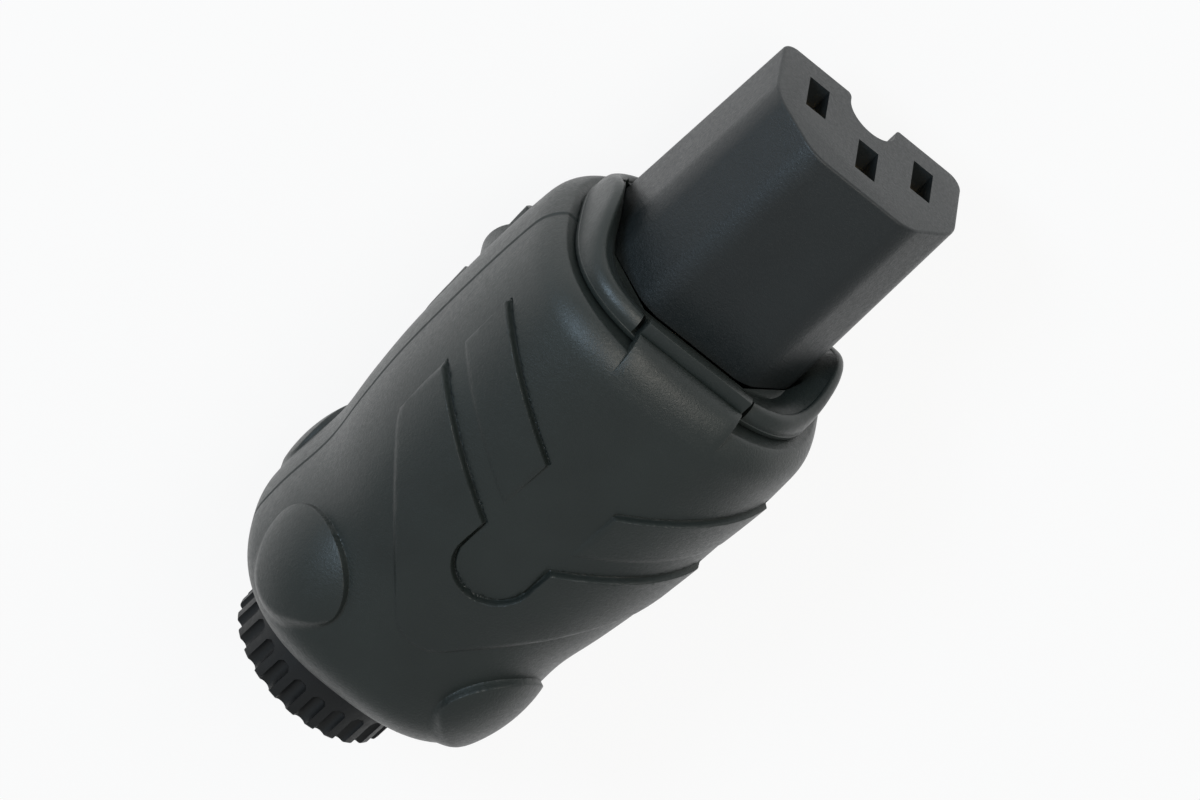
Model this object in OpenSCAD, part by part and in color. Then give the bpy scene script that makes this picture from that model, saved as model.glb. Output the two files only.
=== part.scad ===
// Rewireable appliance connector: a chamfered three-pole nose with a keyway, a scooped
// front collar, a two-part hollow body with raised swept panels, and a gland nut that
// grips the cord.
//
// +X points out of the mating face, +Z out of one big face of the body and +Y to the
// side. The origin is the middle of the mating face, on the connector's axis, and the
// two body shells meet in the plane z = 0. All sizes are in millimetres.

/* [Nose] */
// Width of the nose at its mating face
nose_w = 24; // [23.6:0.1:24.4]
// Height of the nose at its mating face
nose_h = 16; // [15.6:0.1:16.4]
// Size of the two chamfered corners
nose_chamfer = 5.6; // [4.5:0.1:6.5]
// Radius of the two rounded corners
nose_round = 1.8; // [1:0.1:2.5]
// Moulding draft, as growth of each side for each millimetre of depth
nose_draft = 0.018; // [0:0.002:0.03]
// Depth of the nose from its mating face to the collar
nose_depth = 23; // [22:0.1:24]
// Width of the keyway notch
key_w = 6; // [5.4:0.1:6.4]
// Depth of the keyway notch
key_depth = 4.4; // [4.2:0.1:4.6]
// Width of a pin slot
slot_w = 2.6; // [2.3:0.1:3]
// Height of a pin slot
slot_h = 5; // [4.5:0.1:5.4]
// Distance from the earth slot to each outer slot
pole_pitch = 7; // [6.8:0.1:7.2]

/* [Body] */
// Full width of the body at its widest place
body_w = 37.8; // [36.8:0.1:38.8]
// Full thickness of the body at its thickest place, without its raised panels
body_t = 35; // [34:0.1:36]
// Squareness of the body's section: 2 is an ellipse
squareness = 2.5; // [2.2:0.1:3]
// Wall thickness of the shells
wall = 2.2; // [1.8:0.1:2.6]
// Height of the raised panels
panel_h = 0.5; // [0.3:0.05:0.7]
// Height of the rear knuckles above the body
knuckle_h = 2.2; // [1.8:0.1:2.5]

/* [Collar] */
// Width of the collar
collar_w = 31.6; // [31:0.1:32]
// Thickness of the collar
collar_t = 27; // [26.6:0.1:27.4]
// How far the collar's two ends sweep forward of its middle
collar_scoop = 3.4; // [2:0.1:4]
// Width of the latch tongue
latch_w = 14.2; // [12:0.1:15]

/* [Gland] */
// Outer diameter of the gland nut
nut_d = 20.4; // [20:0.1:20.8]
// Diameter of the nut's cord hole
cord_hole_d = 12; // [11.6:0.1:12.4]
// Diameter of the cord that the seal grips
cord_d = 10; // [9:0.1:10.4]
// Number of grip flutes round the nut
flutes = 24; // [18:1:28]

/* [Clearances] */
// Gap between the parts that are fitted together by hand
fit_gap = 0.15; // [0.1:0.01:0.2]
// Radial running gap of the nut's thread
thread_gap = 0.06; // [0.03:0.01:0.09]
// Gap at the joint line between the two shells, for each shell
seam_gap = 0.1; // [0.05:0.01:0.15]

/* [Hidden] */

// ---- where things stand along the axis, counted back from the mating face ----
// A pair holds where a piece starts and how far it runs back.
rim_depth = 2.4;
collar_floor_t = 1.2;
collar_floor = -nose_depth - rim_depth;
collar_back = collar_floor - collar_floor_t;
body_front = collar_back - 0.2;
front_wall = 2.2;
flange_t = 1.8;
collar_flange = [body_front - front_wall - fit_gap, -flange_t];
insert_flange = [collar_flange[0] - flange_t - fit_gap, -flange_t];
keeper_rib = [insert_flange[0] - flange_t - fit_gap, -1.6];
carrier_back = -41.4;
retainer_t = 1.6;
terminal_front = carrier_back - retainer_t;
terminal_l = 9;
sleeve_flange = [-66.5, -2];
keeper_t = 1.5;
cavity_back = -78;
body_back = -81.8;
// Length of the guide inside the shells in which the nut runs, and its wall
guide_l = 6;
guide_wall = 1.5;
nut_front = -74.5;
nut_back = -88.3;
nut_wall = 3.2;
// The gland's inner pieces lie one behind the other inside the nut
slip_ring_t = 0.8;
slip_ring_back = nut_back + nut_wall + 0.1;
collet_back = slip_ring_back + slip_ring_t + 0.1;
seal_back = collet_back + 0.3;
sleeve_back = collet_back + 1.1;
sleeve_step = sleeve_flange[0] - 5;

// ---- the collar ----
// Squareness of its section, points round it, and radius of its rim's bead
collar_power = 2.9;
collar_points = 88;
bead_r = 1.2;
// How far its neck and its flange stand in from its outer side. The neck is squarer, so
// that it clears the corners of the nose inside it.
collar_neck = 2.2;
neck_power = 4.5;
collar_flange_inset = 1;
// How far the latch tongue stands forward of the rim beside it, and the slit on each side
tongue_step = 1.1;
tongue_slit = 0.6;
// Thickness of the rim's wall at its root, and how far forward of its back a slit ends
rim_wall = 2 * bead_r + 0.4;
tongue_root = 0.6;

// ---- the body's outline ----
// Each line is a station: its place on the axis, then its half width and half
// thickness as shares of the largest ones.
stations = [
    [-24, 0.965, 0.98],
    [-34, 0.995, 1.0],
    [-44, 0.995, 0.985],
    [-52, 0.98, 0.96],
    [-59, 0.94, 0.94],
    [-65, 0.895, 0.915],
    [-73, 0.905, 0.925],
    [-82, 0.875, 0.89]
];
// Rounding of the body's front shoulder and of its rear end
shoulder_r = 4.5;
shoulder_start = body_front + 1.2;
tail_r = 6;
tail_end = body_back - 0.3;
// Points round half a section, and sections along the body, its panels and its inside
half_points = 30;
body_steps = 28;
panel_steps = 16;
inner_points = 14;
inner_steps = 8;
// How far below the joint line the upper half is drawn before it is cut there
below_seam = 2;

// ---- the raised panels on each big face ----
sweep = 0.59;
tongue_half = 4.35;
front_tip = -41.5;
front_panel_l = 7.2;
rear_tip = -51.6;
rear_end = -68.9;
medal_x = -55.1;
panel_low_z = 8.8;
panel_reach = 20;
panel_span = [-31, -71];

// ---- the rear knuckles, one on each of the four corners ----
knuckle_x = -72.7;
knuckle_r = 9.5;
knuckle_stretch = 1.43;
knuckle_foot_r = 6.9;
knuckle_turn = 48;

// ---- screws ----
shell_screw_at = [[-40.5, 13.7], [-40.5, -13.7], [-60.4, 11.6], [-60.4, -11.6]];
screw_r = 1.5;
screw_head_r = 2.75;
screw_head_h = 2;
screw_seat_z = -7.5;
insert_r = 2.2;
insert_z = [1, 6.5];
boss_r = 3.3;
head_bore_r = 2.95;
head_boss_r = head_bore_r + 0.9;
// Thickness and height of the web that ties a boss to the side wall
web = [1.4, 6];

// ---- poles: sideways place and height of each pin slot ----
pole_rise = 2;
line_at = [pole_pitch, -pole_rise];
neutral_at = [-pole_pitch, -pole_rise];
earth_at = [0, pole_rise];
poles = [line_at, neutral_at, earth_at];
chamber_w = 4.2;
chamber_h = 7;
chamber_front = -2.5;
// How far a contact lies behind the front of its chamber, and clear of the chamber's sides
contact_back = 0.3;
contact_clear = [0.5, 0.6];
// Thickness and height of the tail that joins a contact to its terminal
contact_tail = [0.8, 4];
// The contact carrier behind the nose: its walls outside the chambers, sideways and in height
carrier_wall = [0.5, 2];
carrier_w = 2 * pole_pitch + chamber_w + 2 * carrier_wall[0];
carrier_h = 2 * pole_rise + chamber_h + 2 * carrier_wall[1];
// How far the insert's flange stands out round the nose
insert_lip = 1.8;
terminal_w = 5;
terminal_h = 8;
terminal_wall = 1.5;
wire_chamber = [3.6, 5];
// A wire plate's length and thickness, and its clearance in the chamber on each side
wire_plate_l = 5;
wire_plate_t = 0.8;
wire_plate_gap = 0.2;
// Height of a wire plate's underside above the middle of its terminal
wire_plate_z = 0.7;
terminal_screw_x = terminal_front - 5;
terminal_screw_r = 1.7;
// Radius and height of its head, and width and depth of the slot across it
terminal_head = [2.4, 1.6];
terminal_slot = [0.8, 0.7];
// The retainer's screws: radius, length under the head, and sideways place and height
retainer_screw_r = 1.1;
retainer_screw_l = 6.8;
retainer_screw_at = [6.6, 5];
retainer_head = [2, 1.3];
retainer_slot = [0.7, 0.7];
// Length, thickness and height of the retainer's fins between the poles
fin = [8, 1, 12];

// ---- gland ----
nut_r = nut_d / 2;
cord_r = cord_d / 2;
cord_hole_r = cord_hole_d / 2;
seal_wall = 1.2;
collet_wall = 1;
sleeve_wall = 1.2;
collet_in = cord_r + seal_wall;
sleeve_in = collet_in + collet_wall;
sleeve_out = sleeve_in + sleeve_wall;
sleeve_flange_r = 11;
nut_bore_r = nut_r + 0.5;
// Round pieces that slide in one another on assembly stand this far apart
slide_gap = 0.05;

plastic = [0.17, 0.18, 0.18];
nose_plastic = [0.19, 0.2, 0.22];
brass = [0.78, 0.62, 0.32];
steel = [0.7, 0.71, 0.73];

// ======================= shared shapes =======================

// Runs a flat shape, drawn as (sideways, up), along the axis from x forward by l
module along_x(x, l) {
    translate([l < 0 ? x + l : x, 0, 0])
        rotate([90, 0, 90])
            linear_extrude(abs(l))
                children();
}

// A round bar along the axis
module bar(x, l, r, sides = 96) {
    translate([l < 0 ? x + l : x, 0, 0])
        rotate([0, 90, 0])
            cylinder(h = abs(l), r = r, $fn = sides);
}

// A round tube along the axis
module tube(x, l, r_out, r_in) {
    difference() {
        bar(x, l, r_out);
        bar(x - sign(l), l + 2 * sign(l), r_in);
    }
}

// A closed skin over a row of rings, from the front one back. Each ring has the same
// number of points and runs from +Y over +Z.
module loft(rings) {
    n = len(rings[0]);
    last = len(rings) - 1;
    polyhedron(
        points = [for (ring = rings) each ring],
        faces = concat(
            [[for (j = [n - 1 : -1 : 0]) j]],
            [for (i = [0 : last - 1], j = [0 : n - 1])
                [i * n + j, i * n + (j + 1) % n, (i + 1) * n + (j + 1) % n, (i + 1) * n + j]],
            [[for (j = [0 : n - 1]) last * n + j]]
        ),
        convexity = 6
    );
}

// A point round a squarish oval of half width a and half height b
function oval(a, b, angle, power) = [
    a * sign(cos(angle)) * pow(abs(cos(angle)), 2 / power),
    b * sign(sin(angle)) * pow(abs(sin(angle)), 2 / power)
];

// The slope of a row of stations at station i, in column c
function slope(rows, i, c) =
    let (a = rows[max(i - 1, 0)], b = rows[min(i + 1, len(rows) - 1)])
    (b[c] - a[c]) / (b[0] - a[0]);

// The value of column c at x, on a smooth curve through the stations
function curve(rows, x, c, i = 0) =
    i < len(rows) - 2 && x < rows[i + 1][0] ? curve(rows, x, c, i + 1) :
    let (
        p = rows[i],
        q = rows[i + 1],
        l = q[0] - p[0],
        t = min(max((x - p[0]) / l, 0), 1)
    )
    (2 * t ^ 3 - 3 * t ^ 2 + 1) * p[c] + (t ^ 3 - 2 * t ^ 2 + t) * l * slope(rows, i, c)
    + (3 * t ^ 2 - 2 * t ^ 3) * q[c] + (t ^ 3 - t ^ 2) * l * slope(rows, i + 1, c);

// How far an edge of radius r has drawn in, at distance d from the end
function rounding(d, r) = d >= r ? 0 : r - sqrt(max(r * r - (r - max(d, 0)) ^ 2, 0));

function drawn_in(x) =
    rounding(shoulder_start - x, shoulder_r) + rounding(x - tail_end, tail_r);
function half_width(x) = curve(stations, x, 1) * body_w / 2 - drawn_in(x);
function half_thick(x) = curve(stations, x, 2) * body_t / 2 - drawn_in(x);

// The upper half of the body's section at x, grown by g, with its flat side at height low
function half_ring(x, g, n, low) = [
    for (j = [0 : n])
        let (p = oval(half_width(x) + g, half_thick(x) + g, 180 * j / n, squareness))
        [x, p[0], j == 0 || j == n ? low : p[1]]
];

// The body's upper half from x0 back to x1, with its sections closest at both ends
module body_form(x0, x1, g, steps, n, low) {
    loft([
        for (i = [0 : steps])
            half_ring(x0 + (x1 - x0) * (1 - cos(180 * i / steps)) / 2, g, n, low)
    ]);
}

// ======================= nose and contacts =======================

// The nose's outline: two chamfered corners above, two rounded ones below
module nose_outline(grow = 0) {
    w = nose_w / 2 + grow;
    h = nose_h / 2 + grow;
    c = nose_chamfer + grow * 0.6;
    hull() {
        polygon([[-w, 0], [w, 0], [w, h - c], [w - c, h], [c - w, h], [-w, h - c]]);
        for (side = [-1, 1])
            translate([side * (w - nose_round), nose_round - h])
                circle(r = nose_round, $fn = 32);
    }
}

module nose_body() {
    hull() {
        along_x(-0.02, 0.02) nose_outline();
        along_x(-nose_depth, 0.02) nose_outline(nose_draft * nose_depth);
    }
}

// The open channel under the nose that keys the connector to its inlet
module keyway() {
    floor_z = key_depth - nose_h / 2 - key_w / 2;
    along_x(-nose_depth, nose_depth + 1)
        union() {
            translate([0, floor_z]) circle(d = key_w, $fn = 48);
            translate([-key_w / 2, -nose_h]) square([key_w, nose_h + floor_z]);
        }
}

module nose_insert() {
    base = nose_draft * nose_depth;
    color(nose_plastic)
        difference() {
            union() {
                nose_body();
                along_x(-nose_depth, insert_flange[0] + nose_depth) nose_outline(base);
                along_x(insert_flange[0], insert_flange[1]) nose_outline(base + insert_lip);
                along_x(insert_flange[0], carrier_back - insert_flange[0])
                    square([carrier_w, carrier_h], center = true);
            }
            keyway();
            for (p = poles) {
                translate([chamber_front - 1, p[0] - slot_w / 2, p[1] - slot_h / 2])
                    cube([2 - chamber_front, slot_w, slot_h]);
                translate([carrier_back - 1, p[0] - chamber_w / 2, p[1] - chamber_h / 2])
                    cube([chamber_front + 1 - carrier_back, chamber_w, chamber_h]);
            }
            retainer_screw_row() bar(0, -retainer_screw_l - 0.4, retainer_screw_r);
        }
}

// Repeats a piece at the two retainer screws, turned so that its -X points forward
module retainer_screw_row() {
    for (side = [-1, 1])
        translate([terminal_front, side * retainer_screw_at[0], retainer_screw_at[1]])
            mirror([1, 0, 0]) children();
}

// A folded socket that grips a flat pin, with a tail to its terminal
module contact(at) {
    front = chamber_front - contact_back;
    socket_w = chamber_w - contact_clear[0];
    socket_h = chamber_h - contact_clear[1];
    socket_l = 14;
    leaf_t = 0.8;
    slit = 0.6;
    color(brass)
        translate([front, at[0], at[1]])
            union() {
                difference() {
                    along_x(0, -socket_l) square([socket_w, socket_h], center = true);
                    along_x(1, leaf_t - socket_l)
                        square([socket_w - 2 * leaf_t, socket_h - 2 * leaf_t], center = true);
                    along_x(-2, 3 - socket_l) square([slit, socket_h + 1], center = true);
                }
                along_x(-socket_l, terminal_front - front + socket_l) square(contact_tail, center = true);
            }
}

// A brass cage with a wire chamber open at the back and a screw hole in its top
module terminal(at) {
    color(brass)
        translate([terminal_front, at[0], at[1]])
            difference() {
                along_x(0, -terminal_l) square([terminal_w, terminal_h], center = true);
                along_x(-terminal_wall, -terminal_l) square(wire_chamber, center = true);
                translate([terminal_screw_x - terminal_front, 0, 1])
                    cylinder(h = terminal_h, r = terminal_screw_r + slide_gap, $fn = 32);
            }
}

module terminal_screws() {
    color(steel)
        for (p = poles)
            translate([terminal_screw_x, p[0], p[1]])
                difference() {
                    union() {
                        translate([0, 0, wire_plate_z + wire_plate_t])
                            cylinder(h = terminal_h / 2 - wire_plate_z, r = terminal_screw_r, $fn = 32);
                        translate([0, 0, terminal_h / 2])
                            cylinder(h = terminal_head[1], r = terminal_head[0], $fn = 48);
                    }
                    translate([
                        -terminal_head[0] - 1, -terminal_slot[0] / 2,
                        terminal_h / 2 + terminal_head[1] - terminal_slot[1]
                    ])
                        cube([2 * terminal_head[0] + 2, terminal_slot[0], 2 * terminal_slot[1]]);
                }
}

// The plates that the terminal screws press on the wires
module wire_plates() {
    color(steel)
        for (p = poles)
            translate([
                terminal_screw_x - wire_plate_l / 2,
                p[0] - wire_chamber[0] / 2 + wire_plate_gap,
                p[1] + wire_plate_z
            ])
                cube([wire_plate_l, wire_chamber[0] - 2 * wire_plate_gap, wire_plate_t]);
}

// The plate that closes the contact chambers, with a fin on each side of the earth pole
module contact_retainer() {
    color(plastic)
        difference() {
            union() {
                along_x(carrier_back, -retainer_t) square([carrier_w, carrier_h], center = true);
                for (side = [-1, 1])
                    translate([terminal_front - fin[0], side * pole_pitch / 2 - fin[1] / 2, -fin[2] / 2])
                        cube([fin[0] + retainer_t / 2, fin[1], fin[2]]);
            }
            for (p = poles)
                along_x(carrier_back + 1, -retainer_t - 2)
                    translate(p) square(contact_tail, center = true);
            retainer_screw_row() bar(1, -retainer_t - 2, retainer_screw_r);
        }
}

module retainer_screws() {
    color(steel)
        retainer_screw_row()
            difference() {
                union() {
                    bar(0, -retainer_screw_l, retainer_screw_r);
                    bar(0, retainer_head[1], retainer_head[0]);
                }
                translate([
                    retainer_head[1] - retainer_slot[1], -retainer_slot[0] / 2, -retainer_head[0] - 1
                ])
                    cube([2 * retainer_slot[1], retainer_slot[0], 2 * retainer_head[0] + 2]);
            }
}

// ======================= collar =======================

// A ring of the collar's section at x, inset from its outer side
function collar_ring(x, inset, power = collar_power) = [
    for (j = [0 : collar_points - 1])
        let (p = oval(collar_w / 2 - inset, collar_t / 2 - inset, 360 * j / collar_points, power))
        [x, p[0], p[1]]
];

// Whether a sideways place lies in the latch tongue
function in_tongue(y) = abs(y) < latch_w / 2;

// How far forward the collar's rim stands at a place on its outer side
function scoop(p) =
    in_tongue(p[0]) ? 0 : collar_scoop * ((1 + cos(360 * p[1] / collar_t)) / 2) ^ 2 - tongue_step;

// A ring round the collar's beaded rim, at an angle round the bead from its outer side.
// The bead runs out at the tongue, which has a sharp edge.
function bead_ring(angle) = [
    for (j = [0 : collar_points - 1])
        let (
            turn = 360 * j / collar_points,
            edge = oval(collar_w / 2, collar_t / 2, turn, collar_power),
            r = in_tongue(edge[0]) ? 0.2 : min(bead_r, 0.5 + (abs(edge[0]) - latch_w / 2) / 3),
            inset = r * (1 - cos(angle)),
            p = oval(collar_w / 2 - inset, collar_t / 2 - inset, turn, collar_power)
        )
        [scoop(edge) - nose_depth - r * (1 - sin(angle)), p[0], p[1]]
];

module front_collar() {
    color(plastic)
        difference() {
            loft(concat(
                [collar_ring(collar_floor, rim_wall)],
                [for (angle = [150 : -30 : 0]) bead_ring(angle)],
                [collar_ring(collar_back + 0.3, 0)],
                [collar_ring(collar_back, 0.25)],
                [collar_ring(collar_back - 0.01, collar_neck, neck_power)],
                [collar_ring(collar_flange[0] + 0.01, collar_neck, neck_power)],
                [collar_ring(collar_flange[0], collar_flange_inset)],
                [collar_ring(collar_flange[0] - flange_t, collar_flange_inset)]
            ));
            along_x(body_back, -body_back) nose_outline(nose_draft * nose_depth + fit_gap);
            for (side = [-1, 1], face = [-1, 1])
                translate([
                    collar_back + tongue_root,
                    (side * latch_w - tongue_slit) / 2,
                    face > 0 ? collar_t / 2 - rim_wall - 0.4 : -collar_t
                ])
                    cube([nose_depth, tongue_slit, collar_t / 2 + rim_wall + 0.4]);
        }
}

// ======================= shells =======================

// Outline of the front panel on one side, seen from above
module front_panel(side) {
    swept = sweep * (panel_reach - tongue_half);
    polygon([
        [front_tip, side * tongue_half],
        [front_tip + swept, side * panel_reach],
        [front_tip - front_panel_l + swept, side * panel_reach],
        [front_tip - front_panel_l, side * tongue_half]
    ]);
}

// Outline of the rear panel, with its swept front edges and its pointed back
module rear_panel() {
    swept = sweep * (panel_reach - tongue_half);
    back_r = 4.5;
    side_r = 5;
    difference() {
        hull() {
            for (side = [-1, 1]) {
                translate([rear_tip + swept, side * (panel_reach - 1)]) circle(r = 1);
                translate([rear_tip + 1.7, side * (body_w / 2 - side_r - 1.6)])
                    circle(r = side_r, $fn = 32);
            }
            translate([rear_end + back_r, 0]) circle(r = back_r, $fn = 48);
        }
        polygon([
            [0, -2 * panel_reach],
            [rear_tip + swept, -panel_reach],
            [rear_tip, -tongue_half],
            [rear_tip, tongue_half],
            [rear_tip + swept, panel_reach],
            [0, 2 * panel_reach]
        ]);
        translate([medal_x, 0]) circle(r = tongue_half, $fn = 48);
        translate([medal_x, -tongue_half]) square([10, 2 * tongue_half]);
    }
}

// The raised panels of the upper face
module panels() {
    intersection() {
        body_form(panel_span[0], panel_span[1], panel_h, panel_steps, half_points, -below_seam);
        translate([0, 0, panel_low_z])
            linear_extrude(body_t / 2) {
                front_panel(1);
                front_panel(-1);
                rear_panel();
            }
    }
}

// A domed pad on one rear corner of the upper half
module knuckle(side) {
    out = pow(2 * pow(0.7071, squareness), -1 / squareness) * half_thick(knuckle_x);
    intersection() {
        translate([knuckle_x, 0, 0])
            rotate([-side * knuckle_turn, 0, 0])
                translate([0, 0, out + knuckle_h - knuckle_r])
                    scale([knuckle_stretch, 1, 1])
                        sphere(r = knuckle_r, $fn = 30);
        translate([knuckle_x, 0, 0])
            rotate([-side * knuckle_turn, 0, 0])
                translate([0, 0, out - knuckle_foot_r])
                    cylinder(h = 2 * knuckle_foot_r, r = knuckle_foot_r, $fn = 28);
    }
}

// The lip that hangs over the root of the collar's latch tongue
module latch_lip() {
    half = latch_w / 2 - tongue_slit / 2;
    lip_front = body_front + 1.8;
    lip_back = body_front - 4.4;
    under = collar_t / 2 + fit_gap;
    top = body_t / 2;
    translate([0, half, 0])
        rotate([90, 0, 0])
            linear_extrude(2 * half)
                polygon([
                    [lip_front, under], [lip_front, under + 1], [lip_front - 0.5, under + 1.6],
                    [body_front, top - 1.3], [body_front - 1.6, top - 0.4],
                    [lip_back, top - 0.4], [lip_back, under - 2],
                    [body_front - 0.3, under - 2], [body_front - 0.3, under]
                ]);
}

// One screw boss, with a short web that ties it to the side wall
module screw_boss(at, r) {
    translate([at[0], at[1], -1])
        cylinder(h = body_t / 2, r = r, $fn = 16);
    translate([at[0] - web[0] / 2, min(at[1], sign(at[1]) * half_width(at[0])), -1])
        cube([web[0], abs(half_width(at[0]) - abs(at[1])), web[1]]);
}

// A cross wall l thick at x, which ends inside the shell's own wall
module bulkhead(x, l) {
    along_x(x, l)
        polygon([
            for (j = [0 : 12])
                let (p = oval(half_width(x) - wall / 2, half_thick(x) - wall / 2, 15 * j, squareness))
                [p[0], p[1] < 0.01 ? -1 : p[1]]
        ]);
}

// The body's inside, and the opening at its front for the collar's neck
module shell_inside() {
    low = -below_seam - 1;
    neck_w = collar_w / 2 - collar_neck + fit_gap;
    neck_h = collar_t / 2 - collar_neck + fit_gap;
    body_form(body_front - front_wall, cavity_back, -wall, inner_steps, inner_points, low);
    along_x(body_front - front_wall - 0.1, front_wall + 1)
        polygon([for (a = [0 : 7.5 : 352.5]) oval(neck_w, neck_h, a, neck_power)]);
}

// Bosses and cross walls inside a shell, kept within its wall
module shell_ribs(boss) {
    intersection() {
        body_form(body_front - 1, body_back + 1, -wall / 2, inner_steps, inner_points, -below_seam - 1);
        for (at = shell_screw_at) screw_boss(at, boss);
    }
    difference() {
        bulkhead(keeper_rib[0], keeper_rib[1]);
        along_x(keeper_rib[0] + 1, keeper_rib[1] - 2)
            square([carrier_w + 2 * fit_gap, carrier_h + 2 * fit_gap], center = true);
    }
    difference() {
        union() {
            bulkhead(sleeve_flange[0] + fit_gap, keeper_t);
            bulkhead(sleeve_flange[0] + sleeve_flange[1] - fit_gap, -keeper_t);
        }
        bar(sleeve_flange[0] + 3, -9, sleeve_out + fit_gap, 32);
    }
    bar(cavity_back - 0.5, guide_l, nut_bore_r + guide_wall, 32);
}

// Everything that both shells share, as the half above the joint line
module shell_half(boss) {
    difference() {
        union() {
            difference() {
                union() {
                    body_form(body_front, body_back, 0, body_steps, half_points, -below_seam);
                    panels();
                    for (side = [-1, 1]) knuckle(side);
                    latch_lip();
                }
                shell_inside();
            }
            shell_ribs(boss);
        }
        translate([2 * body_back, -body_w, seam_gap - body_t])
            cube([-2 * body_back, 2 * body_w, body_t]);
        bar(body_back - 1, cavity_back + guide_l - body_back + 1, nut_bore_r, 32);
    }
}

module upper_shell() {
    color(plastic)
        difference() {
            shell_half(boss_r);
            for (at = shell_screw_at)
                translate([at[0], at[1], -1]) {
                    cylinder(h = 1 + insert_z[0] + insert_z[1], r = insert_r, $fn = 16);
                    cylinder(h = insert_z[0] + insert_z[1] + 2, r = screw_r + 0.2, $fn = 16);
                }
        }
}

module lower_shell() {
    color(plastic)
        difference() {
            mirror([0, 0, 1]) shell_half(head_boss_r);
            for (at = shell_screw_at)
                translate([at[0], at[1], screw_seat_z]) {
                    cylinder(h = body_t, r = screw_r + 0.1, $fn = 16);
                    translate([0, 0, -body_t]) cylinder(h = body_t, r = head_bore_r, $fn = 24);
                }
        }
}

// ======================= gland =======================

// A threaded tube whose flange is held between the shells' cross walls
module gland_sleeve() {
    color(plastic)
        difference() {
            union() {
                bar(sleeve_flange[0], sleeve_flange[1], sleeve_flange_r);
                bar(sleeve_flange[0], sleeve_back - sleeve_flange[0], sleeve_out);
            }
            bar(sleeve_step, sleeve_back - sleeve_step - 1, sleeve_in);
            bar(sleeve_flange[0] + 1, sleeve_step - sleeve_flange[0] - 2, cord_hole_r);
        }
}

// A slotted ring that closes on the cord when the nut is tightened
module clamp_collet() {
    slit = 1;
    slit_l = 8;
    front = sleeve_step - 0.1;
    color([0.75, 0.74, 0.7])
        difference() {
            tube(front, collet_back - front, sleeve_in - slide_gap, collet_in);
            for (a = [0 : 60 : 120])
                rotate([a, 0, 0])
                    translate([collet_back - 1, -nut_r, -slit / 2]) cube([slit_l + 1, 2 * nut_r, slit]);
        }
}

module cord_seal() {
    front = sleeve_step - 0.1;
    color([0.12, 0.12, 0.12])
        tube(front, seal_back - front, collet_in - slide_gap, cord_r);
}

// The washer that lets the nut turn without twisting the collet
module slip_ring() {
    color([0.85, 0.85, 0.82])
        tube(slip_ring_back, slip_ring_t, sleeve_out - 0.2, cord_hole_r);
}

module gland_nut() {
    flute_r = 0.85;
    flute_l = 3.9;
    color([0.13, 0.14, 0.16])
        difference() {
            bar(nut_front, nut_back - nut_front, nut_r);
            bar(nut_front + 1, nut_back + nut_wall - nut_front - 1, sleeve_out + thread_gap);
            bar(nut_back - 1, nut_wall + 2, cord_hole_r);
            for (i = [0 : flutes - 1])
                rotate([360 * i / flutes, 0, 0])
                    translate([nut_back - 0.5, 0, nut_r + 0.1])
                        rotate([0, 90, 0])
                            cylinder(h = flute_l + 0.5, r = flute_r, $fn = 24);
        }
}

// ======================= fasteners =======================

module shell_screws() {
    color(steel)
        for (at = shell_screw_at)
            translate([at[0], at[1], screw_seat_z])
                difference() {
                    union() {
                        cylinder(h = insert_z[0] + insert_z[1] - screw_seat_z - 1, r = screw_r, $fn = 32);
                        translate([0, 0, -screw_head_h])
                            cylinder(h = screw_head_h, r = screw_head_r, $fn = 48);
                    }
                    for (turn = [0, 90])
                        rotate([0, 0, turn])
                            translate([-1.8, -0.4, -screw_head_h - 1]) cube([3.6, 0.8, 2]);
                }
}

// Brass inserts pressed into the upper shell's bosses
module screw_inserts() {
    color(brass)
        for (at = shell_screw_at)
            translate([at[0], at[1], insert_z[0]])
                difference() {
                    cylinder(h = insert_z[1], r = insert_r, $fn = 48);
                    translate([0, 0, -1]) cylinder(h = insert_z[1] + 2, r = screw_r, $fn = 32);
                }
}

nose_insert();
front_collar();
upper_shell();
lower_shell();
contact(line_at);  // line_contact
contact(neutral_at);  // neutral_contact
contact(earth_at);  // earth_contact
terminal(line_at);  // line_terminal
terminal(neutral_at);  // neutral_terminal
terminal(earth_at);  // earth_terminal
terminal_screws();
wire_plates();
contact_retainer();
retainer_screws();
gland_sleeve();
clamp_collet();
cord_seal();
slip_ring();
gland_nut();
shell_screws();
screw_inserts();
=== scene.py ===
"""Rewireable power connector: moulded pieces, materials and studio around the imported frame.

Every length is in metres in the frame of the part: +X out of the mating face, +Z out of
the big face that shows, +Y to the side. The origin is the middle of the mating face.
"""

import math

import bpy
from mathutils import Matrix, Vector


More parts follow.
